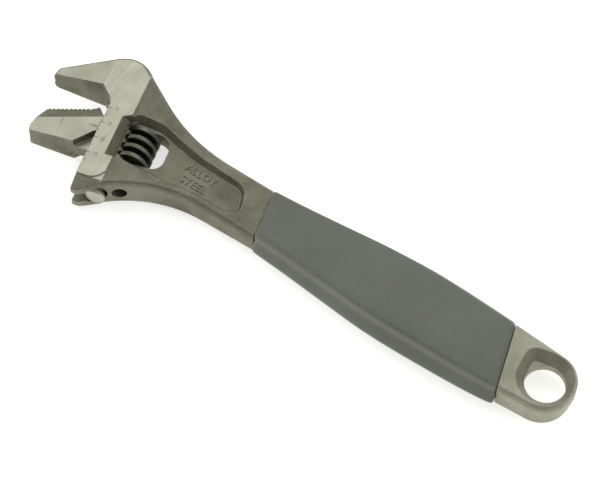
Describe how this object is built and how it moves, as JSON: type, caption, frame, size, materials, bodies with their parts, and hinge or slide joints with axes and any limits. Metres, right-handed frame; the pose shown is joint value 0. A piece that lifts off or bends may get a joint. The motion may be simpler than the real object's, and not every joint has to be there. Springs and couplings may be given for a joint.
{
  "type": "adjustable wrench",
  "caption": "Adjustable wrench with an angled head, reversible plain and serrated jaw, knurled worm adjuster, soft sleeve grip and hanging hole.",
  "frame": {"origin": "centre of the round hanging hole, on the wrench's mid-plane", "axes": "+X along the handle toward the head, +Y the way the loose jaw opens, +Z out of the front face"},
  "size_m": [0.2582, 0.0677, 0.0162],
  "materials": {
    "forged_steel": "phosphated forging with ground faces",
    "jaw_steel": "phosphated forging with ground faces",
    "knurl_steel": "dark phosphated steel",
    "pin_steel": "dark steel",
    "spring_steel": "spring wire",
    "grip_rubber": "matt soft thermoplastic"
  },
  "bodies": {
    "body": {"wrench_body": "forged_steel", "grip": "grip_rubber", "knurl_pin": "pin_steel", "knurl_spring": "spring_steel"},
    "jaw": {"movable_jaw": "jaw_steel"},
    "worm": {"knurl": "knurl_steel"}
  },
  "joints": [
    {"name": "jaw_slide", "type": "slide", "parent": "body", "child": "jaw", "axis": [-0.2588, 0.9659, 0], "range_m": [-0.007, 0.016]},
    {"name": "knurl_spin", "type": "hinge", "parent": "body", "child": "worm", "pos_m": [0.19487, 0.00178, 0], "axis": [-0.2588, 0.9659, 0], "range_deg": [-570, 1290]}
  ],
  "couplings": [
    {"joint": "knurl_spin", "follows": "jaw_slide", "rad_per_m": 1396.3}
  ]
}
